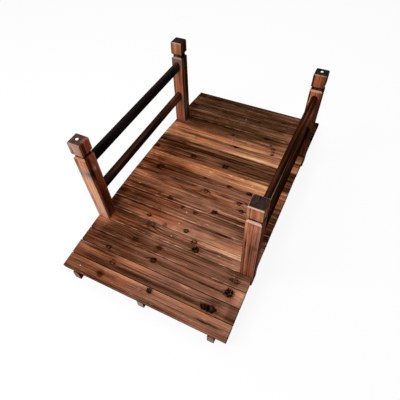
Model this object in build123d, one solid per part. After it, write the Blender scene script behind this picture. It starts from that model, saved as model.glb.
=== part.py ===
from build123d import *
import os
from math import asin, cos, degrees, radians, sin, tan

os.makedirs("parts", exist_ok=True)

# Low-arched garden footbridge of softwood planks on three stringers, with four posts and
# two rails a side. Millimetres. +X runs along the walkway, +Y to its left, +Z is up, and the
# origin is on the ground under the middle of the bridge.

# Deck
deck_width = 670.0
deck_crown_height = 95.0  # walking surface above the ground at mid span
deck_radius = 5200.0  # arch of the walking surface, seen from the side
plank_count = 20
plank_width = 58.0
plank_gap = 2.4
plank_thickness = 20.0
plank_edge = 1.5  # eased long edges of the walking face

# Stringers under the deck
stringer_spacing = 280.0
stringer_thickness = 25.0
side_stringer_proud = 2.5  # beyond the end of the deck
middle_stringer_recess = 2.5  # short of the end of the deck
foot_length = 60.0
underside_rise = 25.0  # hollow of the stringer's underside at mid span

# Posts
post_size = 51.0
post_spacing = 669.0  # centre to centre along the walkway, at the ground
post_lean = 1.4  # degrees, towards the nearer end of the bridge
post_top = 488.0
post_ground_gap = 18.0
cap_height = 52.0
cap_top_edge = 5.0
groove_depth = 6.0
groove_height = 22.0

# Rails
rail_height = 43.0
rail_width = 26.0
rail_mortise_depth = 25.0
upper_rail_level = 378.0  # rail centre above the ground
lower_rail_level = 228.0

# Plugs in two of the post tops
plug_diameter = 11.0
plug_depth = 15.0
plug_stand = 1.0

# Each plank is one flat of the arch, so the planks sit on a ring of equal angles.
half_angle = asin((plank_width + plank_gap) / 2 / deck_radius)
arch_centre_z = deck_crown_height - deck_radius
plank_top_radius = deck_radius * cos(half_angle)
seat_radius = plank_top_radius - plank_thickness
last_angle = (plank_count - 1) * half_angle
deck_end = plank_top_radius * sin(last_angle) + plank_width / 2 * cos(last_angle)
post_y = (deck_width - post_size) / 2


def save(shape, name):
    shape.label = name
    export_step(shape, f"parts/{name}.step")


def seat_corner(number):
    """Point where two neighbouring plank seats meet, counted from the front end."""
    angle = (2 * number - plank_count) * half_angle
    radius = seat_radius / cos(half_angle)
    return radius * sin(angle), arch_centre_z + radius * cos(angle)


def stringer(half, y):
    """Board on edge with a flat seat for each plank and a hollow underside between its feet."""
    inner = [seat_corner(number) for number in range(1, plank_count)]
    (x1, z1), (x2, z2) = inner[-1], seat_corner(plank_count)
    end_z = z1 + (half - x1) * (z2 - z1) / (x2 - x1)
    top = [(-half, end_z)] + inner + [(half, end_z)]
    foot_x = half - foot_length
    outline = [
        Polyline((-foot_x, 0), (-half, 0), *top, (half, 0), (foot_x, 0)),
        ThreePointArc((foot_x, 0), (0, underside_rise), (-foot_x, 0)),
    ]
    side = Plane.XZ * make_face(outline)
    return Pos(0, y, 0) * extrude(side, stringer_thickness / 2, both=True)


def plank(number):
    """Flat board across the walkway, lying on its own flat of the arch."""
    board = Box(plank_width, deck_width, plank_thickness, align=(Align.CENTER, Align.CENTER, Align.MAX))
    board = chamfer(board.edges().filter_by(Axis.Y).group_by(Axis.Z)[-1], plank_edge)
    angle = (2 * number - plank_count + 1) * half_angle
    seat = Pos(0, 0, arch_centre_z) * Rot(0, degrees(angle), 0) * Pos(0, 0, plank_top_radius)
    return seat * board


def post():
    """Square post on its own axis: shaft, groove all round and cap block."""
    neck_size = post_size - 2 * groove_depth
    cap_bottom = post_top - cap_height
    shaft_top = cap_bottom - groove_height
    base = (Align.CENTER, Align.CENTER, Align.MIN)

    shaft = Box(post_size, post_size, shaft_top + groove_depth - post_ground_gap, align=base)
    shaft = chamfer(shaft.faces().sort_by(Axis.Z)[-1].edges(), groove_depth)
    neck = Box(neck_size, neck_size, groove_height - 2 * groove_depth, align=base)
    cap = Box(post_size, post_size, cap_height + groove_depth, align=base)
    cap = chamfer(cap.faces().sort_by(Axis.Z)[0].edges(), groove_depth)
    cap = chamfer(cap.faces().sort_by(Axis.Z)[-1].edges(), cap_top_edge)
    return (
        Pos(0, 0, post_ground_gap) * shaft
        + Pos(0, 0, shaft_top + groove_depth) * neck
        + Pos(0, 0, cap_bottom - groove_depth) * cap
    )


def rail(level):
    """Rail with rounded top and bottom edges, long enough to fill a mortise at each end."""
    post_face = post_spacing / 2 + level * tan(radians(post_lean)) - post_size / 2 / cos(radians(post_lean))
    section = Plane.YZ * SlotOverall(rail_height, rail_width, rotation=90)
    return Pos(0, 0, level) * extrude(section, post_face + rail_mortise_depth, both=True)


def plug():
    """Round plug whose head stands a little above the post's end grain."""
    return Pos(0, 0, post_top - plug_depth) * Cylinder(
        plug_diameter / 2, plug_depth + plug_stand, align=(Align.CENTER, Align.CENTER, Align.MIN)
    )


stringers = {
    "stringer_left": stringer(deck_end + side_stringer_proud, stringer_spacing),
    "stringer_middle": stringer(deck_end - middle_stringer_recess, 0),
    "stringer_right": stringer(deck_end + side_stringer_proud, -stringer_spacing),
}

rails = {}
for side, y in (("left", post_y), ("right", -post_y)):
    rails[f"upper_rail_{side}"] = Pos(0, y, 0) * rail(upper_rail_level)
    rails[f"lower_rail_{side}"] = Pos(0, y, 0) * rail(lower_rail_level)

front = Pos(-post_spacing / 2, 0, 0) * Rot(0, -post_lean, 0)
back = Pos(post_spacing / 2, 0, 0) * Rot(0, post_lean, 0)
corners = {
    "front_left": front * Pos(0, post_y, 0),
    "front_right": front * Pos(0, -post_y, 0),
    "back_left": back * Pos(0, post_y, 0),
    "back_right": back * Pos(0, -post_y, 0),
}
plugs = {corner: corners[corner] * plug() for corner in ("front_left", "back_right")}

# The posts are mortised for the rails, housed over the side stringers and bored for the plugs.
blank_posts = {corner: place * post() for corner, place in corners.items()}
for corner, blank in blank_posts.items():
    side = corner.split("_")[1]
    fitted = blank - rails[f"upper_rail_{side}"] - rails[f"lower_rail_{side}"]
    fitted = fitted - stringers[f"stringer_{side}"]
    if corner in plugs:
        fitted = fitted - plugs[corner]
    save(fitted, f"post_{corner}")

# The planks beside the posts are cut round them.
for number in range(plank_count):
    board = plank(number)
    for blank in blank_posts.values():
        board = board - blank
    save(board, f"deck_plank_{number + 1:02d}")

for name, shape in {**stringers, **rails}.items():
    save(shape, name)
for corner, shape in plugs.items():
    save(shape, f"post_plug_{corner}")
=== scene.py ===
import math
import random

import bmesh
import bpy
from mathutils import Matrix, Vector


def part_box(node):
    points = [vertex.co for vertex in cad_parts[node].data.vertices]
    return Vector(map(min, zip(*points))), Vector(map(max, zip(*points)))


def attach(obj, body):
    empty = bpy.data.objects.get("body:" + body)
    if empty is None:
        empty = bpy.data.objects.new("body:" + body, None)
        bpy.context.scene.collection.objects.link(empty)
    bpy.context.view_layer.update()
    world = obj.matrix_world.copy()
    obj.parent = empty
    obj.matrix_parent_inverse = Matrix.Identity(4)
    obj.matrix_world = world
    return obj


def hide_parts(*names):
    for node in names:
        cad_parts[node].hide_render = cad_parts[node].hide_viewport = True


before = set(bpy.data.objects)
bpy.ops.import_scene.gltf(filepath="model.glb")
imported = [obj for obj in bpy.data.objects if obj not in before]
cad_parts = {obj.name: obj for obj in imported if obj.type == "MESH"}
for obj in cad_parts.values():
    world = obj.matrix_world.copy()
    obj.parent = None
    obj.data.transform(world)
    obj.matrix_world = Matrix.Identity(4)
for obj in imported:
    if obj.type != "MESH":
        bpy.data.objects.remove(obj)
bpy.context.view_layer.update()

# A low-arched wooden garden footbridge, in metres. +X runs along the walkway towards the back
# end, +Y to its left and +Z up, from the ground under its middle.

# ----------------------------------------
# Deck planks
# Planed fir boards nailed flat across the stringers, one behind the other up the arch. They were
# scorched with a flame and brushed, so that hard winter rings stand up dark and the soft summer
# wood between them is worn to a reddish brown. The posts come up through two of them.

plank_width = 0.058
plank_length = 0.670
plank_thickness = 0.020
plank_ease = 0.0014  # rounding of its edges
end_slack = 0.0012  # how much shorter an end may be sawn
edge_sway = 0.0003  # how far a sawn edge may wander inwards
edge_step = 0.04  # distance between the points of a sawn edge
deck_radius = 5.200  # arch of the walking surface, seen from the side
plank_names = [f"deck_plank_{number:02d}" for number in range(1, 21)]

# For each plank, from the front end: how deep the flame went at its left end, middle and right
# end (0 is bare wood, 1 is char), and how much redder it is there than the flame alone makes it;
# then how much deeper the flame went towards its far edge, how pale its near edge is, worn and
# with a painted highlight where the eased edge catches the light, how much darker it is painted
# outside the right rail as the rail's painted shadow, and how strong the wood's figure is.
plank_looks = [
    ((0.65, 0.45, 0.45), (0.05, -0.04, 0.23), -0.20, 0.10, 0.00, 0.70),
    ((0.60, 0.50, 0.50), (-0.07, -0.13, 0.12), -0.05, 0.05, 0.20, 0.65),
    ((0.70, 0.55, 0.40), (-0.03, -0.02, 0.00), -0.20, 0.25, -0.05, 0.60),
    ((0.80, 0.60, 0.60), (0.02, -0.07, 0.12), 0.05, 0.50, -0.15, 0.70),
    ((0.70, 0.55, 0.25), (0.10, 0.02, 0.04), 0.05, 0.85, 0.25, 1.10),
    ((0.85, 0.55, 0.30), (-0.06, -0.01, 0.24), 0.20, 0.80, 0.30, 0.95),
    ((0.80, 0.55, 0.50), (0.14, 0.00, -0.01), 0.35, 0.75, 0.30, 1.00),
    ((0.55, 0.40, 0.40), (-0.12, -0.14, 0.15), 0.00, 0.90, 0.50, 1.00),
    ((0.60, 0.65, 0.50), (0.12, 0.05, -0.07), 0.00, 0.45, 0.25, 1.10),
    ((0.75, 0.60, 0.40), (0.22, 0.01, 0.05), 0.10, 0.30, 0.20, 0.95),
    ((0.35, 0.25, 0.25), (0.16, 0.00, 0.14), -0.15, 0.15, 0.25, 1.10),
    ((0.70, 0.60, 0.70), (0.17, 0.02, -0.09), 0.20, 0.10, 0.15, 1.60),
    ((0.70, 0.50, 0.60), (0.04, -0.11, -0.15), -0.40, 0.10, 0.20, 1.40),
    ((0.30, 0.30, 0.15), (-0.06, -0.12, 0.21), 0.40, 0.30, 0.30, 1.10),
    ((0.35, 0.45, 0.30), (-0.08, -0.06, 0.06), 0.15, 0.10, 0.20, 1.15),
    ((0.85, 0.90, 0.55), (0.01, 0.08, 0.22), 0.35, 0.10, 0.60, 0.80),
    ((0.95, 0.75, 0.50), (-0.06, -0.30, 0.30), 0.00, 0.30, 0.55, 0.95),
    ((0.85, 0.75, 0.80), (-0.17, -0.04, -0.09), 0.20, 0.30, 0.50, 1.00),
    ((0.80, 0.70, 0.70), (0.06, -0.12, -0.17), -0.20, 0.15, 0.30, 1.00),
    ((0.75, 0.75, 0.80), (-0.12, -0.13, 0.09), 0.05, 0.20, 0.30, 0.70),
]

# Knots of each plank, in millimetres from its middle as in the next two tables: place along it,
# place across it, radius and blackness.
plank_knots = {
    1: [(182, -3, 12, 0.25), (-18, 19, 10, 1.10)],
    2: [(164, -5, 11, 0.45), (-223, -13, 13, 1.00), (-246, -11, 14, 0.90)],
    3: [(26, 5, 11, 0.90), (214, -15, 10, 0.60), (-281, 6, 15, 1.30)],
    4: [(30, -1, 10, 0.30), (37, -24, 8, 0.35), (135, -6, 12, 0.15), (-281, -6, 14, 0.50)],
    5: [(-100, -13, 12, 1.30), (-78, 15, 10, 0.80), (114, 14, 16, 0.40)],
    6: [(142, -8, 8, 1.20), (-29, -14, 9, 1.10), (62, -22, 7, 0.60)],
    7: [(120, -26, 6, 0.70), (36, 22, 7, 0.80), (-24, 18, 9, 0.60)],
    8: [(-92, -9, 11, 1.00), (106, -17, 10, 0.60), (162, -15, 6, 0.60)],
    9: [(-169, 13, 9, 1.10), (-191, -22, 9, 0.90), (-15, 16, 11, 0.60)],
    10: [(20, 22, 7, 0.70), (-96, 20, 8, 0.90), (-187, 16, 10, 1.10), (232, 4, 16, 0.60)],
    11: [(-146, 26, 5, 0.40)],
    12: [(127, 1, 11, 0.70), (-34, 1, 11, 1.00), (316, -1, 12, 0.80)],
    13: [(210, 8, 10, 0.30)],
    14: [(-28, 25, 10, 1.30), (178, 12, 8, 0.40)],
    15: [(-197, -17, 8, 1.00), (-190, 22, 9, 0.70), (-194, 3, 7, 0.60)],
    16: [(-136, 24, 9, 1.00), (22, -22, 7, 0.80), (-172, -20, 6, 0.80)],
    17: [(150, 10, 9, 0.30)],
    18: [(-60, 12, 10, 0.30)],
    19: [(-175, 4, 9, 0.40)],
    20: [(90, -10, 10, 0.30)],
}

# Dark seams that run with the grain: place across, from, to, half width and depth.
plank_seams = {
    1: [(0, -310, -206, 3, 0.30)],
    2: [(18, 160, 320, 2.6, 0.40), (-13, -190, 150, 7, 0.26)],
    3: [(0, -270, 10, 2.6, 0.32)],
    4: [(-7, -140, 10, 2.2, 0.25)],
    5: [(4, -265, -100, 2.2, 0.25), (-8, 60, 260, 3, 0.18)],
    6: [(22, -240, -50, 3, 0.28)],
    8: [(-11, -300, -90, 4, 0.48), (-21, -225, -110, 2, 0.35)],
    9: [(-8, -90, 110, 5, 0.32)],
    14: [(-27, 200, 335, 3, 0.35)],
    15: [(-26, 50, 335, 3, 0.30)],
}

# Smoky patches and paler ones where the flame passed lightly, and painted shadows just behind
# the left posts: place along and across, reach along and across, and how much deeper the flame
# went there, for a painted shadow how much darker it is painted.
plank_patches = {
    1: [(184, -2, 14, 12, 0.30), (-245, 0, 45, 6, 0.22), (280, -22, 60, 10, -0.20),
        (-230, -22, 90, 10, -0.20), (120, 22, 90, 8, -0.15), (130, 0, 30, 10, 0.15)],
    2: [(250, -18, 100, 11, 0.25), (270, 6, 70, 7, -0.25), (-130, 22, 20, 5, -0.30),
        (-270, 20, 50, 8, 0.15), (-150, -24, 110, 8, -0.08), (305, 20, 40, 10, -0.26),
        (80, 20, 75, 9, -0.25), (-250, 12, 35, 14, 0.22)],
    3: [(200, 20, 80, 10, 0.25), (-318, 0, 18, 30, -0.30), (240, -22, 80, 8, -0.20),
        (-20, -22, 50, 8, -0.18), (150, 0, 45, 10, 0.15), (-265, -20, 20, 9, -0.17)],
    4: [(310, 20, 40, 14, -0.45), (240, -10, 90, 12, 0.10), (-70, -22, 50, 8, -0.18),
        (32, 0, 12, 12, 0.25), (137, -5, 15, 12, 0.18), (80, 20, 30, 10, -0.20),
        (-225, 20, 30, 10, -0.20), (310, -8, 25, 18, -0.18)],
    5: [(-190, 22, 90, 8, -0.40), (130, 15, 50, 12, -0.05), (305, -4, 45, 30, -0.22),
        (-40, 4, 40, 10, -0.17), (270, -20, 25, 9, -0.20), (75, -20, 30, 9, -0.20)],
    # Plank 6's first patch, at its left end, is a painted shadow just behind the front left post.
    6: [(315, 0, 22, 40, 0.35), (-165, 26, 28, 4, 0.50), (120, 20, 60, 10, 0.18),
        (-40, -4, 60, 16, -0.22), (-115, 0, 30, 10, -0.18), (270, 18, 25, 10, -0.30),
        (-265, 20, 20, 9, 0.18)],
    7: [(-140, -18, 70, 6, -0.15), (315, 0, 20, 30, 0.20), (70, 20, 30, 10, 0.17),
        (-70, 0, 80, 8, -0.17), (270, 0, 25, 10, -0.18), (-245, -8, 40, 16, 0.16)],
    8: [(250, -8, 75, 8, 0.28), (105, -17, 30, 9, 0.15), (310, 20, 40, 12, 0.18),
        (100, 22, 50, 8, -0.16), (125, 0, 25, 10, -0.18), (-25, 0, 30, 10, 0.20)],
    9: [(255, -14, 60, 10, -0.35), (-120, 0, 70, 20, -0.10), (-30, 20, 80, 9, -0.22),
        (-250, 20, 40, 10, 0.30), (150, -24, 100, 8, -0.18), (200, 2, 60, 8, 0.20),
        (-262, 24, 25, 8, 0.35), (175, 20, 30, 9, -0.15)],
    10: [(190, 4, 70, 24, 0.12), (290, -25, 60, 5, -0.25), (240, 20, 50, 9, -0.18),
        (305, -16, 25, 10, -0.18)],
    11: [(270, -10, 85, 11, 0.42), (150, -25, 60, 5, 0.40), (-220, 22, 50, 10, -0.22),
        (-200, -22, 60, 10, -0.20), (150, -8, 40, 16, 0.22), (-90, 0, 50, 10, 0.16)],
    12: [(210, -12, 90, 10, -0.08), (-150, -24, 120, 9, -0.28), (110, -24, 60, 9, -0.15),
        (-225, -18, 30, 10, -0.25), (310, -18, 22, 10, -0.20), (-90, 20, 70, 9, 0.18),
        (250, 0, 50, 10, 0.18), (20, 23, 160, 7, 0.14)],
    13: [(320, -22, 30, 6, -0.25), (-160, 22, 60, 10, -0.20), (90, -22, 60, 9, -0.18),
        (50, -26, 250, 6, -0.18), (165, 20, 50, 10, 0.20), (270, 20, 30, 10, -0.18)],
    14: [(150, 26, 150, 7, 0.30), (-110, -18, 120, 10, -0.25), (300, 22, 50, 10, -0.25),
        (280, -20, 60, 12, 0.20), (-225, 0, 28, 10, 0.20), (-130, -20, 90, 9, -0.25),
        (175, 0, 30, 10, 0.16)],
    15: [(315, -4, 22, 30, -0.15), (-30, -10, 150, 8, -0.10), (-40, 22, 70, 9, -0.27),
        (-80, -22, 40, 9, -0.22), (110, 0, 50, 10, 0.17), (-215, 0, 40, 9, 0.18),
        (-80, 20, 70, 9, -0.20), (-125, -20, 30, 9, -0.16)],
    16: [(-120, -12, 45, 10, -0.20), (-225, -14, 25, 10, -0.20), (-10, 0, 60, 10, -0.17),
        (190, -20, 60, 10, 0.22), (-170, 20, 45, 10, 0.20), (-170, -20, 35, 9, -0.16),
        (-265, -6, 22, 30, -0.20)],
    17: [(-160, 5, 60, 14, -0.12), (-170, -12, 60, 5, 0.18), (-50, 20, 50, 9, -0.15),
        (-265, 0, 22, 30, -0.28)],
    # Plank 18's patch at 310 along is a painted shadow just behind the back left post.
    18: [(240, -16, 55, 8, -0.22), (-225, -16, 25, 10, -0.15), (30, -12, 50, 12, -0.12),
        (310, 0, 35, 40, 0.30), (-225, -4, 25, 12, -0.15), (-175, -20, 25, 9, 0.16)],
    20: [(-120, 16, 110, 10, -0.10), (280, 4, 8, 16, -0.20), (-170, -22, 60, 10, -0.17),
        (-230, 16, 30, 12, -0.18)],
}


class Reading:
    """What one output of a node gives. Sums can be done with it, as with a plain number."""

    def __init__(self, socket):
        self.socket = socket
        self.tree = socket.id_data

    def __getitem__(self, output):
        """Another output of the same node."""
        return Reading(self.socket.node.outputs[output])

    def reckon(self, operation, *others):
        return put("ShaderNodeMath", dict(enumerate((self, *others))), operation=operation)

    def __add__(self, other):
        return self.reckon("ADD", other)

    def __sub__(self, other):
        return self.reckon("SUBTRACT", other)

    def __mul__(self, other):
        return self.reckon("MULTIPLY", other)

    def __truediv__(self, other):
        return self.reckon("DIVIDE", other)

    __radd__ = __add__


def feed(socket, value):
    """Sets an input to a value, or joins it to the reading that feeds it."""
    if isinstance(value, Reading):
        value.tree.links.new(value.socket, socket)
    else:
        socket.default_value = value


def put(kind, inputs, tree=None, **settings):
    """Adds a node and feeds its inputs. A node fed only by plain values is told its tree."""
    if tree is None:
        tree = next(value.tree for value in inputs.values() if isinstance(value, Reading))
    node = tree.nodes.new(kind)
    for key, value in settings.items():
        setattr(node, key, value)
    for key, value in inputs.items():
        feed(node.inputs[key], value)
    return Reading(node.outputs[0])


def vectors(operation, *given):
    """Reckons with directions or places, part by part."""
    return put("ShaderNodeVectorMath", dict(enumerate(given)), operation=operation)


def parts_of(vector):
    """The three parts of a place on a piece. The second runs with the grain."""
    parts = put("ShaderNodeSeparateXYZ", {0: vector})
    return parts, parts[1], parts[2]


def slope(value, low, high, at_low, at_high, shape="LINEAR"):
    """Runs evenly from one number to another as value goes from low to high."""
    inputs = {0: value, 1: low, 2: high, 3: at_low, 4: at_high}
    return put("ShaderNodeMapRange", inputs, interpolation_type=shape)


def ease(value, low, high, at_low, at_high):
    """Runs as a slope does, but starts and stops softly."""
    return slope(value, low, high, at_low, at_high, "SMOOTHSTEP")


def mix(amount, first, second):
    return put("ShaderNodeMix", {0: amount, 2: first, 3: second})


def mix_colors(amount, first, second, way="MIX"):
    colors = {0: amount, 6: first, 7: second}
    return put("ShaderNodeMix", colors, data_type="RGBA", blend_type=way)[2]


def noise(place, scale, detail):
    return put("ShaderNodeTexNoise", {"Vector": place, "Scale": scale, "Detail": detail})


def hill(across, along, wide, long):
    """1 at a spot, falling off to 0 around it, longer with the grain than across it."""
    across = across / wide
    along = along / long
    return ((across * across + along * along) * -1.0).reckon("EXPONENT")


def new_group(name, inputs, outputs, kind="ShaderNodeTree"):
    """A node group whose sockets are listed by what they carry, such as Float or Vector."""
    tree = bpy.data.node_groups.new(name, kind)
    for way, sockets in (("INPUT", inputs), ("OUTPUT", outputs)):
        for carries, labels in sockets.items():
            for label in labels:
                socket_kind = "NodeSocket" + carries
                tree.interface.new_socket(name=label, in_out=way, socket_type=socket_kind)
    given = Reading(tree.nodes.new("NodeGroupInput").outputs[0])
    return tree, given, tree.nodes.new("NodeGroupOutput").inputs


def make_knot_group():
    """A knot: rings bend round it, its core is black or brown, and the wood beside it is darker."""
    tree, given, result = new_group(
        "knot",
        {"Vector": ["Place"], "Float": ["Along", "Across", "Radius", "Blackness"]},
        {"Float": ["Bend", "Char"]},
    )
    place, radius = given["Place"], given["Radius"]
    across, along, _ = parts_of(place)
    across = across - given["Across"]
    along = along - given["Along"]
    ragged = noise(place, 72.0, 2.0)
    speck = noise(place, 120.0, 1.0)

    # How far a point is from the middle, in radii: the knot is a little longer with the grain
    oval_across = across / radius
    oval_along = along / (radius * 1.25)
    away = (oval_across * oval_across + oval_along * oval_along).reckon("SQRT")
    away = away + (ragged - 0.5) * 1.5
    core = ease(away, 0.35, 1.20, 1.0, 0.0)
    rim = ((away - 0.70).reckon("POWER", 2.0) * -12.0).reckon("EXPONENT")
    beside = hill(across, along, radius, radius * 3.0)
    char = core * 0.20 + rim * 0.34 + beside * 0.12
    char = char * ease(speck, 0.38, 0.60, 0.70, 1.40)
    turned = hill(across, along, radius * 1.5, radius * 2.8)
    feed(result["Char"], char * given["Blackness"])
    feed(result["Bend"], turned * (radius * 0.65))
    return tree


def make_seam_group():
    """A dark seam with the grain, such as a crack or a pitch streak."""
    tree, given, result = new_group(
        "seam",
        {"Vector": ["Place"], "Float": ["Across", "From", "To", "Width", "Depth"]},
        {"Float": ["Char"]},
    )
    across, along, _ = parts_of(given["Place"])
    wander = (noise(given["Place"], 14.0, 2.0) - 0.5) * 0.010
    line = hill(across - given["Across"] + wander, 0.0, given["Width"], 1.0)
    fade_in = (-0.015, 0.030)
    start = ease(along - given["From"], *fade_in, 0.0, 1.0)
    stop = ease(given["To"] - along, *fade_in, 0.0, 1.0)
    feed(result["Char"], line * (start * stop) * given["Depth"])
    return tree


def make_patch_group():
    """A cloudy patch round a point: 1 in its middle, fading out by its reach each way."""
    tree, given, result = new_group(
        "patch", {"Vector": ["Place", "Centre", "Reach"]}, {"Float": ["Amount"]},
    )
    cloud = noise(given["Place"], 55.0, 3.0)[1]
    most_stray = vectors("MINIMUM", given["Reach"], (0.012,) * 3)
    stray = vectors("MULTIPLY", vectors("SUBTRACT", cloud, (0.5,) * 3), most_stray)
    away = vectors("SUBTRACT", vectors("ADD", given["Place"], stray), given["Centre"])
    away = vectors("DIVIDE", away, given["Reach"])
    far = vectors("DOT_PRODUCT", away, away)["Value"]
    feed(result["Amount"], (far * -1.0).reckon("EXPONENT"))
    return tree


# Tones of the fir from bare wood to char, by the depth of the flame.
fir_tones = [
    (-0.25, "E8B98A"), (0.00, "C48458"), (0.16, "AC6E49"), (0.35, "8A553A"), (0.60, "5E3722"),
    (0.80, "40210F"), (1.00, "271106"), (1.25, "0A0503"),
]


def tone_color(tone):
    """The colour that nodes need for a tone written as six hexadecimal digits."""
    parts = [int(tone[start:start + 2], 16) / 255 for start in (0, 2, 4)]
    return [((part + 0.055) / 1.055) ** 2.4 for part in parts] + [1.0]


def fir_tone(flame):
    """The tone of the wood at each depth of the flame."""
    bare, black = fir_tones[0][0], fir_tones[-1][0]
    tone = put("ShaderNodeValToRGB", {0: slope(flame, bare, black, 0.0, 1.0)})
    stops = tone.socket.node.color_ramp.elements
    for index, (depth, written) in enumerate(fir_tones):
        at = (depth - bare) / (black - bare)
        stop = stops[index] if index < 2 else stops.new(at)
        stop.position = at
        stop.color = tone_color(written)
    return tone


def make_fir_group():
    """Flamed fir: its yearly rings, the flame's clouds and streaks, wear and painted highlights,
    ash and fine relief.
    """
    tree, given, result = new_group(
        "flamed fir",
        {
            "Vector": ["Place"],
            "Float": ["Seed", "Bend", "Char", "Flame", "Fade", "Heart across", "Heart depth",
                      "Ring", "Contrast", "Figure", "Ash", "Drift", "Redder", "Chips"],
            "Color": ["Warm", "Cool", "Worn_and_lit"],
        },
        {"Color": ["Color"], "Float": ["Height", "Flame"]},
    )

    def grained(across, along, detail, seed_step, rough=0.5):
        """Noise drawn out along the grain: how often it changes in a metre, across and along."""
        return put("ShaderNodeTexNoise", {
            "Vector": vectors("MULTIPLY", given["Place"], (across, along, across)),
            "W": given["Seed"] + seed_step, "Scale": 1.0, "Detail": detail, "Roughness": rough,
        }, noise_dimensions="4D")

    # Rings round the heart of the tree, with a soft summer part and a hard winter part each year
    ring_sway = 0.013
    darkens, darkest, breaks_off = 0.45, 0.90, 0.93  # shares of a year's growth
    across, along, deep = parts_of(given["Place"])
    wander = put("ShaderNodeSeparateColor", {0: grained(9.0, 1.7, 2.0, 3.1)[1]})
    across = across + (wander - 0.5) * ring_sway - given["Heart across"]
    deep = deep + (wander[1] - 0.5) * ring_sway + given["Heart depth"]
    from_heart = (across * across + deep * deep).reckon("SQRT")
    rings = (from_heart + given["Bend"]) / given["Ring"]
    year = rings.reckon("FLOOR")
    growth = rings.reckon("FRACT")
    winter = ease(growth, darkens, darkest, 0.0, 1.0) * ease(growth, breaks_off, 1.0, 1.0, 0.0)
    hard_year = put("ShaderNodeTexWhiteNoise", {"W": year + given["Seed"]}, noise_dimensions="1D")
    winter = winter * (hard_year * 0.9 + 0.25)
    winter = winter * ease(grained(26.0, 5.0, 2.0, 61.4), 0.38, 0.62, 0.30, 1.30)
    winter = winter * ease(grained(110.0, 24.0, 1.0, 83.2), 0.36, 0.64, 0.45, 1.35)

    # What the flame did: clouds, bands, streaks and single fibres, and small chips brushed bare
    cloud = grained(11.0, 3.0, 3.0, 11.7)
    band = grained(70.0, 1.6, 3.0, 23.9, 0.55)
    streak = grained(190.0, 3.5, 3.0, 31.3, 0.6)
    fibre = grained(520.0, 24.0, 2.0, 39.9, 0.6)
    chips = ease(grained(250.0, 34.0, 1.0, 71.3), 0.63, 0.77, 0.0, given["Chips"])
    hue = grained(9.0, 2.2, 2.0, 47.2) - along * given["Drift"]
    hue = (grained(75.0, 2.4, 2.0, 53.8) - 0.5) * 0.8 + hue
    hue = ease(hue - given["Redder"], 0.20, 0.64, 0.0, 1.0)
    usual_winter = 0.24
    ruffle = (winter - usual_winter) * given["Contrast"]
    for layer, strength in (
        (cloud, 0.80), (band, 1.05), (streak, 1.00), (fibre, 0.45), (hue, 0.10),
    ):
        ruffle = ruffle + (layer - 0.5) * strength
    calm = (given["Ash"] * -0.65 + 1.0) * given["Figure"]
    flame = given["Flame"] + (ruffle - chips) * calm + given["Char"]

    # Colour: the tone for that depth, tinted, then made pale where worn and where a highlight is
    # painted, and turned to ash where it should be
    tint = mix_colors(hue, given["Warm"], given["Cool"])
    color = mix_colors(1.0, fir_tone(flame), tint, "MULTIPLY")
    worn_and_lit = given["Fade"] * (streak * 1.2 + 0.4) * (winter * -0.5 + 1.0)
    color = mix_colors(worn_and_lit.reckon("MINIMUM", 1.0), color, given["Worn_and_lit"])
    grey = put("ShaderNodeRGBToBW", {0: color})
    color = mix_colors((given["Ash"] * 0.85).reckon("MINIMUM", 1.0), color, grey)
    feed(result["Color"], color)
    feed(result["Height"], winter + fibre * 0.35 - given["Char"] * 0.5)
    feed(result["Flame"], flame)
    return tree


knot_group = make_knot_group()
seam_group = make_seam_group()
patch_group = make_patch_group()
fir_group = make_fir_group()


def new_material(name):
    """A material with its node tree and the inputs of its shader."""
    material = bpy.data.materials.new(name)
    material.use_nodes = True
    tree = material.node_tree
    return material, tree, tree.nodes["Principled BSDF"].inputs


def place_on(tree, centre, turn=(0.0, 0.0, 0.0)):
    """Metres on the piece itself, from its own middle: across the grain, along it and into it."""
    own = put("ShaderNodeTexCoord", {}, tree)["Object"]
    spot = {0: own, "Location": centre, "Rotation": turn}
    return put("ShaderNodeMapping", spot, vector_type="TEXTURE")


def surface(shader, color, roughness, relief, strength, depth):
    """Gives a shader its colour, its roughness and the fine relief of its surface."""
    feed(shader["Base Color"], color)
    feed(shader["Roughness"], roughness)
    bump = {"Height": relief, "Strength": strength, "Distance": depth}
    feed(shader["Normal"], put("ShaderNodeBump", bump))


def metres(*millimetres):
    return [value / 1000 for value in millimetres]


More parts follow.
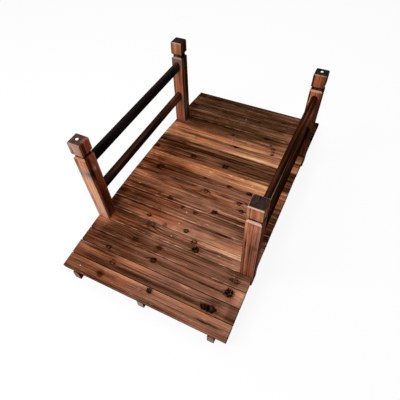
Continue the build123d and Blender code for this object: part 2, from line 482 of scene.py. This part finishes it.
def fir_material(
    name, centre, turn, flame_of, seed, heart, ring, knots=(), seams=(), patches=(),
    contrast=0.30, figure=1.0, drift=0.0, chips=0.0,
    warm=(1.10, 0.87, 0.74, 1), cool=(0.99, 1.02, 1.18, 1), worn_and_lit=(0.68, 0.42, 0.30, 1),
):
    """One piece's own finish. flame_of(place) gives its flame depth, with any painted shade, how
    pale it is from wear and painted highlights, and how ashen and red it is. The tree's heart lies
    that far to the side and below, and a ring is a year's width."""
    material, tree, shader = new_material(name)
    place = place_on(tree, centre, turn)
    flame, fade, ash, redder = flame_of(place)
    bend, char = 0.0, 0.0
    for *spot, blackness in knots:
        along, across, radius = metres(*spot)
        knot = put("ShaderNodeGroup", {
            "Place": place, "Along": along, "Across": across, "Radius": radius,
            "Blackness": blackness,
        }, node_tree=knot_group)
        bend = bend + knot["Bend"]
        char = char + knot["Char"]
    for *spot, depth in seams:
        across, start, end, width = metres(*spot)
        seam = put("ShaderNodeGroup", {
            "Place": place, "Across": across, "From": start, "To": end, "Width": width,
            "Depth": depth,
        }, node_tree=seam_group)
        char = char + seam
    for middle, reach, deeper, *wear_and_highlight in patches:
        patch = put("ShaderNodeGroup", {
            "Place": place, "Centre": metres(*middle), "Reach": metres(*reach),
        }, node_tree=patch_group)
        flame = flame + patch * deeper
        if wear_and_highlight:
            paler, ashen = wear_and_highlight
            fade = fade + patch * paler
            ash = ash + patch * ashen
    wood = put("ShaderNodeGroup", {
        "Place": place, "Seed": seed, "Bend": bend, "Char": char, "Flame": flame, "Fade": fade,
        "Heart across": heart[0], "Heart depth": heart[1], "Ring": ring, "Contrast": contrast,
        "Figure": figure, "Ash": ash, "Drift": drift, "Redder": redder, "Chips": chips,
        "Warm": warm, "Cool": cool, "Worn_and_lit": worn_and_lit,
    }, node_tree=fir_group)
    burnt = wood["Flame"]
    surface(
        shader, wood["Color"], ease(burnt, 0.1, 1.1, 0.62, 0.85), wood["Height"],
        strength=0.7, depth=0.0010,
    )
    feed(shader["Specular IOR Level"], ease(burnt, 0.2, 0.9, 0.16, 0.0))
    return material


def plank_flame(depths, reds, farther, wear_and_highlight, rail_shadow, side_char_and_shade, outer_red):
    """Flame depth along a plank: deeper on its end grain; darker on its sides, partly char and
    partly painted shade in the gaps; darker outside the right rail as the rail's painted shadow;
    and its near edge pale, partly wear and partly a painted highlight where the eased edge catches
    the light.
    """
    # Each runs from where a change starts to where it ends, in the plank's own metres
    left_end, near_side = plank_length / 2, -plank_width / 2
    end_grain = (left_end - 0.0025, left_end - 0.0005)
    rubbed_lit_edge = (near_side + 0.0010, near_side + 0.0035)
    below_arris, near_arris = (-0.0070, -0.0035), (-0.0035, -0.0015)
    left_change, right_change = (0.02, 0.27), (-0.27, -0.02)
    rail_strip = (-0.310, -0.290)

    def along_plank(along, left, middle, right):
        """Holds near the middle and near each end, and runs evenly between."""
        to_left = slope(along, *left_change, middle, left)
        to_right = slope(along, *right_change, right - middle, 0.0)
        return to_left + to_right

    def flame_of(place):
        across, along, up = parts_of(place)
        flame = along_plank(along, *depths)
        flame = flame + ease(along.reckon("ABSOLUTE"), *end_grain, 0.0, 0.55)
        # Painted shadow of the right rail: the plank outside the rail is painted darker.
        flame = flame + ease(along, *rail_strip, rail_shadow, 0.0)
        flame = flame + across * (farther / plank_width)
        # Painted shade in the gaps: the sides below the arris are darker, partly char and partly
        # painted shade.
        flame = flame + ease(up, *below_arris, side_char_and_shade, 0.0)
        redder = ease(along, *rail_strip, outer_red, 0.0) + along_plank(along, *reds)

        # The near edge is pale, partly wear and partly a painted highlight where it catches the
        # light; less of it in the right rail's painted shadow.
        edge = ease(across, *rubbed_lit_edge, wear_and_highlight, 0.0)
        edge = edge * ease(noise(place, 16.0, 2.0), 0.40, 0.60, 0.20, 1.60)
        edge = edge * ease(up, *near_arris, 0.0, 1.0)
        edge = edge * ease(along, -0.05, 0.30, 1.0, 0.50) * ease(along, *rail_strip, 0.25, 1.0)
        return flame, edge, 0.0, redder
    return flame_of


def plank_tints(number):
    """Warmer and cooler streaks, which change a little from the front boards to the back ones."""
    if number < 11:
        return (1.12, 0.90, 0.70, 1), (0.95, 1.10, 1.36, 1)
    if number < 16:
        return (1.12, 0.90, 0.70, 1), (0.98, 1.09, 1.10, 1)
    return (1.05, 1.00, 0.86, 1), (0.93, 1.15, 1.18, 1)


def box_of(node):
    """The lowest and highest corners of a CAD node, and its middle."""
    low, high = (Vector(corner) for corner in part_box(node))
    return low, high, (low + high) / 2


def into_scene(name, data):
    """Puts a mesh, lamp or camera into the scene."""
    item = bpy.data.objects.new(name, data)
    bpy.context.scene.collection.objects.link(item)
    return item


def mesh_from(name, shape):
    mesh = bpy.data.meshes.new(name)
    shape.to_mesh(mesh)
    shape.free()
    return mesh


def skin(rings):
    """A closed shape through rings of points: each is joined to the next, and both ends close."""
    shape = bmesh.new()
    rings = [[shape.verts.new(point) for point in ring] for ring in rings]
    for lower, upper in zip(rings, rings[1:]):
        for index in range(len(lower)):
            after = (index + 1) % len(lower)
            shape.faces.new((lower[index], lower[after], upper[after], upper[index]))
    shape.faces.new(list(reversed(rings[0])))
    shape.faces.new(rings[-1])
    bmesh.ops.recalc_face_normals(shape, faces=shape.faces)
    return shape


def edge_points(start, end, rng, sway):
    """Points along a sawn edge that is not quite straight, without its last point."""
    count = max(2, int((Vector(end) - Vector(start)).length / edge_step))
    points = []
    for step in range(count):
        x = start[0] + (end[0] - start[0]) * step / count
        y = start[1] + (end[1] - start[1]) * step / count
        inward = 0.0 if step == 0 else rng.uniform(0.0, sway)
        points.append((x - math.copysign(inward, x), y))
    return points


def board(name, outline, place):
    """A flat board from its outline, with eased edges, set in its place."""
    shape = skin([[(x, y, z) for x, y in outline] for z in (-plank_thickness, 0.0)])
    sharp = [edge for edge in shape.edges if edge.calc_face_angle(0.0) > 0.5]
    bmesh.ops.bevel(
        shape, geom=sharp, offset=plank_ease, segments=2, profile=0.5, affect="EDGES",
        clamp_overlap=True,
    )
    shape.transform(place)
    return into_scene(name, mesh_from(name, shape))


def plank_place(node):
    """How far a plank leans on the arch, and the place of the middle of its walking face."""
    middle = box_of(node)[2]
    lean = math.asin(middle.x / (deck_radius - plank_thickness / 2))
    place = Matrix.Translation(middle) @ Matrix.Rotation(lean, 4, "Y")
    return lean, place @ Matrix.Translation((0, 0, plank_thickness / 2))


for number, node in enumerate(plank_names, start=1):
    rng = random.Random(100 + number)
    lean, place = plank_place(node)
    half = plank_width / 2
    left_end = plank_length / 2 - rng.uniform(0.0, end_slack)
    right_end = -plank_length / 2 + rng.uniform(0.0, end_slack)
    outline = []
    corners = [(half, right_end), (half, left_end), (-half, left_end), (-half, right_end)]
    for start, end in zip(corners, corners[1:] + corners[:1]):
        outline += edge_points(start, end, rng, edge_sway if start[0] == end[0] else 0.0)
    piece = board(f"plank_{number:02d}", outline, place)

    heart = (rng.choice((-1, 1)) * rng.uniform(0.02, 0.10), rng.uniform(0.03, 0.09))
    ring = rng.uniform(0.0056, 0.0084)
    depths, reds, farther, wear_and_highlight, rail_shadow, figure = plank_looks[number - 1]
    # How much darker the sides are painted: partly char and partly painted shade in the gaps.
    side_char_and_shade = 0.15 if number == 1 else 0.50
    outer_red = 0.12 if 4 < number < 16 else 0.0
    broad_figured = number in (12, 13)
    contrast = 0.42 if number < 5 else 0.10 if broad_figured else 0.25
    warm, cool = plank_tints(number)
    piece.data.materials.append(fir_material(
        f"flamed fir plank {number:02d}", place.translation, (0.0, lean, 0.0),
        plank_flame(depths, reds, farther, wear_and_highlight, rail_shadow, side_char_and_shade, outer_red),
        seed=number * 7.3, heart=heart, ring=ring, knots=plank_knots.get(number, ()),
        seams=plank_seams.get(number, ()),
        patches=[((across, along, 0), (wide, long, 30), deeper)
                 for along, across, long, wide, deeper in plank_patches.get(number, ())],
        contrast=contrast, figure=figure, drift=0.55 if number < 11 else 0.30,
        # The pale colour of worn places and of the painted highlight on the planks' near edges.
        chips=0.12 if broad_figured else 0.40, warm=warm, cool=cool, worn_and_lit=(0.62, 0.33, 0.22, 1),
    ))
    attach(piece, "root")
    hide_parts(node)

# ----------------------------------------
# Posts
# Four square posts of the same fir, housed over the side stringers, each with a deep groove cut
# all round below its cap block. The sides that face right are darkest, partly from deeper flame
# and partly painted shade, as they face away from the light. The groove is painted dark as painted
# shade under the cap. The end grain on top is ashen grey, partly soot and ash and partly a painted
# sky reflection. The groove's lower flank is pale, partly worn and partly a painted highlight where
# it faces up into the light, and the cap's edge is worn pale.

post_length = 0.470
post_half = 0.0255
post_neck_half = 0.0195
post_shoulder_half = 0.0248  # where the groove's flanks and the cap's edge start to turn
post_ease = 0.0022
post_lean = math.radians(1.4)  # each post leans a little towards its end of the bridge
post_levels = [  # height below the top, and half the width there
    (post_length, post_half), (0.0743, post_half), (0.0730, post_shoulder_half),
    (0.0680, post_neck_half), (0.0580, post_neck_half), (0.0528, post_shoulder_half),
    (0.0515, post_half), (0.0056, post_half), (0.0036, post_shoulder_half), (0.0016, 0.0232),
    (0.0, 0.0208),
]

# Bands round the post: how far below the top each starts, is full, starts to end and ends.
lower_flank = (0.0750, 0.0735, 0.0690, 0.0672)
groove = (0.0690, 0.0670, 0.0530, 0.0515)
cap_edge = (0.0060, 0.0040, 0.0020, 0.0008)
# The groove is painted darker as painted shade under the cap.
groove_shade = 0.45

# Each post's flame: how deep it went on the front, right, left and back faces, the right faces
# painted darker still as painted shade; its depth and the ash on top, the ash partly standing for
# a painted sky reflection; how pale the groove's lower flank is, worn and with a painted highlight,
# and how pale the cap's edge is worn; and how much redder it is where the flame went deep. Then its
# wood, as fir_material takes it. Then its patches, in
# millimetres: middle and reach (across, up the post from its middle, to the right), how much
# deeper the flame went, and where it differs, how much paler it is worn and how ashen it is.
post_looks = {
    "post_front_left": (
        dict(faces=(0.06, 0.64, 0.62, 0.40), top=(0.72, 0.60), worn_and_lit=(0.12, 0.08), redden=0.9),
        dict(heart=(0.030, 0.022), ring=0.0052, contrast=0.36, figure=0.74,
             warm=(1.18, 0.79, 0.72, 1), cool=(1.02, 1.02, 1.12, 1)),
        [((6, 235, 22), (26, 6, 6), -0.26, 0.00, -0.20),
         ((-26, 92, 0), (6, 17, 40), 0.24, 0.05, 0.80),
         ((-26, 96, 17), (6, 9, 9), 0.26, 0.00, 0.40), ((-26, 150, 8), (6, 22, 14), 0.12),
         ((-26, 205, 0), (6, 30, 30), 0.20, 0.35, 0.25),
         ((-26, 232, 0), (6, 5, 30), 0.20, 0.00, 0.70),
         ((-26, -90, 2), (6, 150, 30), -0.14, 0.40, 0.00), ((-26, 155, -18), (6, 50, 6), 0.15),
         ((-16, 90, 26), (9, 26, 4), 0.45, 0.00, 0.50),
         ((4, 106, 26), (8, 10, 4), -0.22, 0.30, 0.50), ((-20, 160, 26), (10, 70, 4), 0.16),
         ((10, 170, 26), (14, 70, 4), -0.16), ((4, -80, 26), (30, 100, 4), 0.20)],
    ),
    "post_front_right": (
        dict(faces=(0.53, 0.90, 0.62, 0.45), top=(0.92, 0.80), worn_and_lit=(0.95, 0.80)),
        dict(heart=(0.010, 0.060), ring=0.0066, contrast=1.30, figure=0.75, drift=-1.2,
             warm=(1.12, 0.82, 0.84, 1), cool=(1.05, 0.94, 1.02, 1)),
        [((-26, 135, -10), (6, 30, 3), 0.35), ((-26, 205, -17), (6, 30, 10), -0.22),
         ((-26, 205, 16), (6, 30, 9), -0.22), ((0, 208, 26), (30, 26, 4), -0.12),
         ((-26, 140, -18), (6, 32, 8), -0.22), ((-26, 140, 0), (6, 14, 30), -0.10, 0.05, 0.00),
         ((-26, -20, -10), (6, 110, 4), -0.20), ((-26, 45, -18), (6, 30, 10), 0.15),
         ((-26, 32, 14), (6, 14, 10), 0.14), ((-26, -120, -14), (6, 50, 12), -0.15),
         ((12, 120, 26), (12, 80, 4), -0.12), ((-26, -80, 0), (6, 130, 40), 0.10, 0.04, 0.00),
         ((-26, 20, 4), (6, 50, 14), 0.16), ((-26, 120, 22.5), (6, 90, 2), -0.10, 0.45, 0.00),
         ((-26, 208, -22.5), (6, 30, 2.5), 0.00, 0.35, 0.20)],
    ),
    "post_back_left": (
        dict(faces=(0.35, 0.93, 0.60, 0.45), top=(0.92, 0.90), worn_and_lit=(0.30, 0.30)),
        dict(heart=(-0.010, 0.022), ring=0.0058, contrast=0.42, figure=0.90, drift=-1.5,
             warm=(1.12, 0.82, 0.72, 1), cool=(1.00, 1.03, 1.00, 1)),
        [((-26, 148, 0), (6, 22, 40), 0.58, 0.18, 0.40), ((-26, 208, 0), (6, 24, 8), -0.10),
         ((-26, 208, -20), (6, 40, 7), 0.22, 0.00, 0.50), ((-26, 110, 19), (6, 40, 8), -0.26),
         ((0, -80, 26), (30, 60, 4), -0.15, 0.05, 0.30), ((-26, 60, -20), (6, 70, 10), 0.10),
         ((-26, 50, 20), (6, 70, 10), 0.14), ((-26, -90, 0), (6, 70, 40), 0.18, 0.06, 0.05),
         ((-26, -90, 22), (6, 90, 3), 0.00, 0.12, 0.30)],
    ),
    "post_back_right": (
        dict(faces=(0.60, 0.98, 0.66, 0.50), top=(0.95, 1.10), worn_and_lit=(0.50, 0.20)),
        dict(heart=(-0.030, 0.022), ring=0.0046, contrast=0.85, figure=1.00,
             warm=(1.12, 0.84, 0.68, 1), cool=(1.00, 0.98, 1.05, 1)),
        [((-26, 208, -2), (6, 30, 20), -0.16), ((-26, 208, -20), (6, 30, 7), -0.06),
         ((-26, 90, -20), (6, 50, 7), -0.28), ((-26, 70, 20), (6, 80, 11), 0.24),
         ((-26, 120, -16), (6, 45, 12), -0.30), ((-26, 110, 2), (6, 55, 8), -0.20),
         ((-26, 170, 0), (6, 8, 40), 0.00, 0.00, 0.45), ((-26, -100, 0), (6, 140, 40), 0.62)],
    ),
}


def squared_ring(z, half):
    """Points round a square with eased corners, four to a corner."""
    ring = []
    for turn in range(4):
        angle = math.pi / 2 * turn
        for step in range(4):
            round_angle = math.pi / 6 * step
            x = half - post_ease + post_ease * math.cos(round_angle)
            y = half - post_ease + post_ease * math.sin(round_angle)
            ring.append((
                x * math.cos(angle) - y * math.sin(angle),
                x * math.sin(angle) + y * math.cos(angle),
                z,
            ))
    return ring


def rounded_piece(name, shape):
    """Turns a shape into an object, shaded smooth over its rounded edges."""
    mesh = mesh_from(name, shape)
    mesh.polygons.foreach_set("use_smooth", [True] * len(mesh.polygons))
    mesh.set_sharp_from_angle(angle=0.9)
    return into_scene(name, mesh)


def post_flame(faces, top, worn_and_lit, redden=0.0):
    """Flame depth by face, with painted shade on the faces away from the light: a point belongs to
    the face it is nearest, also inside the groove.
    """
    front, right, left, back = faces
    depth, ash = top

    def flame_of(place):
        across, up, side = parts_of(place)

        def band(start, full, ending, end, amount):
            """Comes in and goes out again between four heights below the top."""
            start, full, ending, end = (
                post_length / 2 - below for below in (start, full, ending, end)
            )
            return ease(up, start, full, 0.0, amount) * ease(up, ending, end, 1.0, 0.0)

        lengthways = ease(across, -0.002, 0.002, front, back)
        # The right faces are painted darker: partly deeper flame and partly painted shade.
        sideways = ease(side, -0.002, 0.002, left, right)
        nearest = across.reckon("ABSOLUTE") - side.reckon("ABSOLUTE")
        on_front_or_back = ease(nearest, -0.0012, 0.0012, 0.0, 1.0)
        on_top = ease(up, post_length / 2 - 0.0022, post_length / 2 - 0.0004, 0.0, 1.0)
        flame = mix(on_top, mix(on_front_or_back, sideways, lengthways), depth)
        redder = (flame - 0.35) * redden
        # Painted shade in the groove under the cap.
        flame = flame + band(*groove, 1.0) * groove_shade
        # Painted highlight: the groove's lower flank, which faces up into the light, is painted
        # pale together with its wear; the cap's edge is worn pale.
        pale = band(*lower_flank, worn_and_lit[0]).reckon("MAXIMUM", band(*cap_edge, worn_and_lit[1]))
        # The ashen grey on top is partly ash and partly a painted sky reflection on the end grain.
        return flame, pale * on_front_or_back, on_top * ash, redder
    return flame_of


for number, (node, (flame, wood, patches)) in enumerate(post_looks.items()):
    low, _, middle = box_of(node)
    upright = post_length * math.cos(post_lean) + 2 * post_half * math.sin(post_lean)
    middle.z = low.z + upright / 2  # from the foot up, as the cap's eased top lowers the box
    lean = math.copysign(post_lean, middle.x)
    shape = skin([squared_ring(post_length / 2 - drop, half) for drop, half in post_levels])
    shape.transform(Matrix.Translation(middle) @ Matrix.Rotation(lean, 4, "Y"))
    piece = rounded_piece(node.replace("post_", "post_of_") + "_corner", shape)
    piece.data.materials.append(fir_material(
        "flamed fir " + node, middle, (math.pi / 2, lean, 0.0), post_flame(**flame),
        seed=200 + number * 9.1, patches=patches, **wood,
    ))
    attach(piece, "root")
    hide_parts(node)

# ----------------------------------------
# Plugs
# Short round dowels of pale wood that close the bolt holes in two of the post tops. Their heads
# are slightly domed and stand a little above the end grain.

plug_half_length = 0.008
plug_levels = [  # height above the plug's middle, and the share of its full radius there
    (-plug_half_length, 1.0), (plug_half_length - 0.0010, 1.0), (plug_half_length - 0.0005, 0.96),
    (plug_half_length - 0.0001, 0.84), (plug_half_length, 0.55),
]
plug_sides = 32


def dowel_material(node, middle):
    """Pale end grain: rings round the dowel's middle, broken by fine pores."""
    material, tree, shader = new_material("pale dowel " + node)
    place = place_on(tree, middle)
    rings = put("ShaderNodeTexWave", {"Vector": place, "Scale": 260.0, "Distortion": 3.0},
                wave_type="RINGS", rings_direction="Z")[1]
    grain = rings * noise(place, 900.0, 3.0)
    color = mix_colors(grain, (0.88, 0.82, 0.74, 1), (0.62, 0.50, 0.38, 1))
    surface(shader, color, 0.5, grain, strength=0.3, depth=0.0003)
    return material


for node in ("post_plug_front_left", "post_plug_back_right"):
    low, high, middle = box_of(node)
    radius = (high.y - low.y) / 2
    angles = [math.tau * step / plug_sides for step in range(plug_sides)]
    shape = skin([
        [(radius * share * math.cos(angle), radius * share * math.sin(angle), z)
         for angle in angles] for z, share in plug_levels
    ])
    lean = math.copysign(post_lean, middle.x)
    shape.transform(Matrix.Translation(middle) @ Matrix.Rotation(lean, 4, "Y"))
    piece = rounded_piece(node.replace("post_plug", "plug_of_post"), shape)
    piece.data.materials.append(dowel_material(node, middle))
    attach(piece, "root")
    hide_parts(node)

# ----------------------------------------
# Rails
# Two fir rails a side with rounded top and bottom edges, let into mortises in the posts. The
# flame charred them nearly black; only the upper right one is brown along its top. Their right
# sides are painted darker still, partly deeper flame and partly painted shade, and a thin painted
# highlight runs along the upper right rail's outer top edge.

rail_steps = 12  # lengths between one mortise and the other
rail_sides = 32

# Each rail's flame depth, how much darker its right side is, partly deeper flame and partly
# painted shade, and how ashen it is, then its patches as on the posts, but to the right of its
# middle, along it towards the back, and up.
rail_looks = {
    "upper_rail_left": (0.97, 0.1, 0.9, [
        ((0, 305, 0), (40, 25, 40), -0.18, 0.00, -0.80), ((0, -300, 0), (40, 100, 40), 0.16),
    ]),
    "lower_rail_left": (0.92, 0.06, 0.4, [
        ((0, 260, 0), (40, 90, 40), -0.20, 0.00, -0.40),
        ((0, -300, 0), (40, 80, 40), 0.10, 0.00, 0.20),
    ]),
    "upper_rail_right": (0.98, 0.12, 0.0, [
        ((13, 180, 2), (6, 180, 30), -0.32), ((0, 150, 20), (12, 200, 12), -0.14),
        ((0, -280, 20), (12, 100, 12), -0.12, 0.00, 0.30),
        # A painted highlight: a thin pale line along the rail's outer top edge, where it catches
        # the light.
        ((11.2, -270, 12.5), (1.4, 160, 2.6), -0.10, 0.75, 0.10),
    ]),
    "lower_rail_right": (1.1, 0.2, 0.0, []),
}


def rail_flame(depth, right_char_and_shade, ash):
    """Flame depth round a rail, darker on its right side, partly deeper flame and partly painted
    shade.
    """
    def flame_of(place):
        to_right = parts_of(place)[0]
        return ease(to_right, 0.004, 0.012, depth, depth + right_char_and_shade), 0.0, ash, 0.0
    return flame_of


for number, (node, (depth, right_char_and_shade, ash, patches)) in enumerate(rail_looks.items()):
    low, high, middle = box_of(node)
    radius = (high.y - low.y) / 2
    flat = (high.z - low.z) / 2 - radius
    outline = []
    for side in range(rail_sides):
        angle = math.tau * (side + 0.5) / rail_sides
        outline.append((
            middle.y + radius * math.cos(angle),
            middle.z + math.copysign(flat, math.sin(angle)) + radius * math.sin(angle),
        ))
    shape = skin([
        [(low.x + (high.x - low.x) * step / rail_steps, y, z) for y, z in outline]
        for step in range(rail_steps + 1)
    ])
    piece = rounded_piece("rail_" + node.replace("_rail", ""), shape)
    piece.data.materials.append(fir_material(
        "charred fir " + node, middle, (0.0, 0.0, -math.pi / 2),
        rail_flame(depth, right_char_and_shade, ash), seed=300 + number * 5.7, heart=(0.004, 0.010),
        ring=0.0038, patches=patches, contrast=0.20,
    ))
    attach(piece, "root")
    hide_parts(node)

# ----------------------------------------
# Stringers
# Three fir boards on edge that carry the deck, sawn with a flat seat for each plank and a
# shallow arch below. They were flamed less than the deck, and their sawn ends are weathered grey.
# Their right sides are painted darker, partly deeper flame and partly painted shade.

stringer_ease = 0.0010
stringer_end_depths = {"stringer_left": 0.55, "stringer_middle": 0.25, "stringer_right": 0.45}


def stringer_flame(half_length, end_depth):
    """Flame depth on a stringer, darker on its right side, partly deeper flame and partly painted
    shade, with its sawn ends apart.
    """
    def flame_of(place):
        across, along, _ = parts_of(place)
        # The right side is painted darker: partly deeper flame and partly painted shade.
        side = ease(across, 0.0100, 0.0120, 0.62, 0.90)
        end = ease(along.reckon("ABSOLUTE"), half_length - 0.0012, half_length - 0.0004, 0.0, 1.0)
        return mix(end, side, end_depth), end * 0.15, end * 0.75, 0.0
    return flame_of


for number, (node, end_depth) in enumerate(stringer_end_depths.items()):
    low, high, middle = box_of(node)
    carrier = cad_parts[node]
    carrier.data.materials.clear()
    carrier.data.materials.append(fir_material(
        "flamed fir " + node, middle, (0.0, 0.0, -math.pi / 2),
        stringer_flame((high.x - low.x) / 2, end_depth), seed=400 + number * 6.3,
        heart=(0.05, 0.03), ring=0.0050, contrast=0.25,
    ))
    eased = carrier.modifiers.new("eased edges", "BEVEL")
    eased.width = stringer_ease
    eased.segments = 2
    eased.limit_method = "ANGLE"

# ----------------------------------------
# Nails
# Small steel nails, one through each plank into each stringer, driven just flush. Most have been
# blackened by the flame. They are set out with Geometry Nodes, and their heads differ in size.

nail_head_radius = 0.0022
nail_stand = 0.0002  # how far a head stands above its plank
nail_lines = (0.272, 0.012, -0.271)  # across the bridge, over the stringers
nail_stray_along = 0.004
nail_stray_across = 0.007
arch_centre_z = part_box("deck_plank_10")[1].z - deck_radius


def nail_places():
    """One nail per plank and stringer, a little off line as a hand-held nailer leaves them."""
    rng = random.Random(41)
    places = []
    for node in plank_names:
        _, place = plank_place(node)
        for line in nail_lines:
            along = line + rng.uniform(-nail_stray_along, nail_stray_along)
            across = rng.uniform(-nail_stray_across, nail_stray_across)
            places.append(place @ Vector((across, along, 0.0)))
    return places


def build_nail_tree():
    """A low head on each point, turned away from the middle of the deck's arch."""
    tree, given, result = new_group(
        "nail heads",
        {"Geometry": ["Geometry"], "Float": ["Head radius", "Stand"],
         "Vector": ["Arch centre"], "Int": ["Seed"], "Material": ["Material"]},
        {"Geometry": ["Geometry"]}, "GeometryNodeTree",
    )
    flat = put("GeometryNodeMeshCone", {
        "Vertices": 16, "Side Segments": 2, "Depth": given["Stand"] * 2.0,
        "Radius Bottom": given["Head radius"], "Radius Top": given["Head radius"] * 0.72,
    })
    sunk = put("ShaderNodeCombineXYZ", {2: given["Stand"] * -1.0})
    head = put("GeometryNodeTransform", {"Geometry": flat, "Translation": sunk})
    spot = put("GeometryNodeInputPosition", {}, tree)
    outward = vectors("SUBTRACT", spot, given["Arch centre"])
    outward = vectors("MULTIPLY", outward, (1.0, 0.0, 1.0))
    turn = put("FunctionNodeAlignRotationToVector", {"Vector": outward}, axis="Z")
    size = {2: 0.85, 3: 1.10, "Seed": given["Seed"]}
    size = put("FunctionNodeRandomValue", size, data_type="FLOAT")[1]
    heads = put("GeometryNodeInstanceOnPoints", {
        "Points": put("GeometryNodeMeshToPoints", {"Mesh": given["Geometry"]}),
        "Instance": head, "Rotation": turn, "Scale": size,
    })
    real = put("GeometryNodeRealizeInstances", {"Geometry": heads})
    steel = {"Geometry": real, "Material": given["Material"]}
    feed(result[0], put("GeometryNodeSetMaterial", steel))
    return tree


def nail_material():
    """Steel, black from the flame in most places and bare in some, with fine scratches."""
    material, tree, shader = new_material("flame blued steel nail")
    own = put("ShaderNodeTexCoord", {}, tree)["Object"]
    bare = ease(noise(own, 26.0, 3.0), 0.50, 0.62, 0.0, 1.0)
    color = mix_colors(bare, (0.035, 0.026, 0.022, 1), (0.62, 0.58, 0.54, 1))
    scratch = noise(own, 1800.0, 2.0)
    surface(shader, color, scratch * 0.3 + 0.25, scratch, strength=0.2, depth=0.0002)
    shader["Metallic"].default_value = 0.85
    return material


points = bpy.data.meshes.new("nail places")
points.from_pydata(nail_places(), [], [])
holder = into_scene("nail places", points)
setter = holder.modifiers.new("nails", "NODES")
setter.node_group = build_nail_tree()
wanted = {
    "Head radius": nail_head_radius, "Stand": nail_stand,
    "Arch centre": (0.0, 0.0, arch_centre_z), "Seed": 5, "Material": nail_material(),
}
for item in setter.node_group.interface.items_tree:
    if item.in_out == "INPUT" and item.name in wanted:
        setter[item.identifier] = wanted[item.name]
graph = bpy.context.evaluated_depsgraph_get()
nail_mesh = bpy.data.meshes.new_from_object(holder.evaluated_get(graph))
bpy.data.objects.remove(holder)
nails = into_scene("nail_heads", nail_mesh)
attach(nails, "root")

# ----------------------------------------
# Floor, light and camera
# The bridge stands on a plain white studio floor, lit softly from the front left and above, so
# that its right-hand faces are in shade.

floor_half = 30
floor_glow = 0.90  # how much of the floor is plain white where it is seen
world_seen, world_light = 1.00, 0.48  # the world's strength where it is seen, and as light


def seen_directly(tree):
    """1 where the camera sees a surface itself, in a reflection or through glass, else 0."""
    ray = put("ShaderNodeLightPath", {}, tree)
    seen = ray["Is Camera Ray"].reckon("MAXIMUM", ray["Is Glossy Ray"])
    return seen.reckon("MAXIMUM", ray["Is Transmission Ray"])


floor_mesh = bpy.data.meshes.new("floor")
corners = [(x * floor_half, y * floor_half, 0) for x, y in ((-1, -1), (1, -1), (1, 1), (-1, 1))]
floor_mesh.from_pydata(corners, [], [(0, 1, 2, 3)])
floor = into_scene("floor", floor_mesh)
white, tree, shader = new_material("white floor")
shader["Base Color"].default_value = (0.8, 0.8, 0.8, 1)
shader["Roughness"].default_value = 0.9
glow = put("ShaderNodeEmission", {"Color": (1, 1, 1, 1), "Strength": 1.0}, tree)
lit = Reading(tree.nodes["Principled BSDF"].outputs[0])
seen_floor = put("ShaderNodeMixShader", {0: seen_directly(tree) * floor_glow, 1: lit, 2: glow})
feed(tree.nodes["Material Output"].inputs["Surface"], seen_floor)
floor_mesh.materials.append(white)

world = bpy.data.worlds.new("studio")
bpy.context.scene.world = world
world.use_nodes = True
sky = world.node_tree.nodes["Background"].inputs
sky["Color"].default_value = (1.0, 1.0, 1.0, 1.0)
seen = seen_directly(world.node_tree)
feed(sky["Strength"], seen * (world_seen - world_light) + world_light)

for name, place, aim, size, power in (
    ("key light", (-1.9, 1.5, 2.6), (0.0, 0.0, 0.1), 1.4, 72.0),
    ("top light", (0.3, 0.3, 3.0), (0.0, 0.0, 0.1), 2.5, 38.0),
):
    data = bpy.data.lights.new(name, "AREA")
    data.size = size
    data.energy = power
    lamp = into_scene(name, data)
    lamp.location = place
    lamp.rotation_euler = (Vector(aim) - Vector(place)).to_track_quat("-Z", "Y").to_euler()

lens = bpy.data.cameras.new("camera")
lens.lens = 31.95
lens.sensor_width = 36.0
lens.clip_end = 100.0
camera = into_scene("camera", lens)
right = Vector((0.43674, -0.89919, -0.02667))
up = Vector((0.70961, 0.32613, 0.62458))
camera.rotation_euler = Matrix((right, up, right.cross(up))).transposed().to_euler()
camera.location = (-0.9448, -0.4441, 1.2473)
bpy.context.scene.camera = camera

bpy.context.scene.view_settings.view_transform = "Standard"
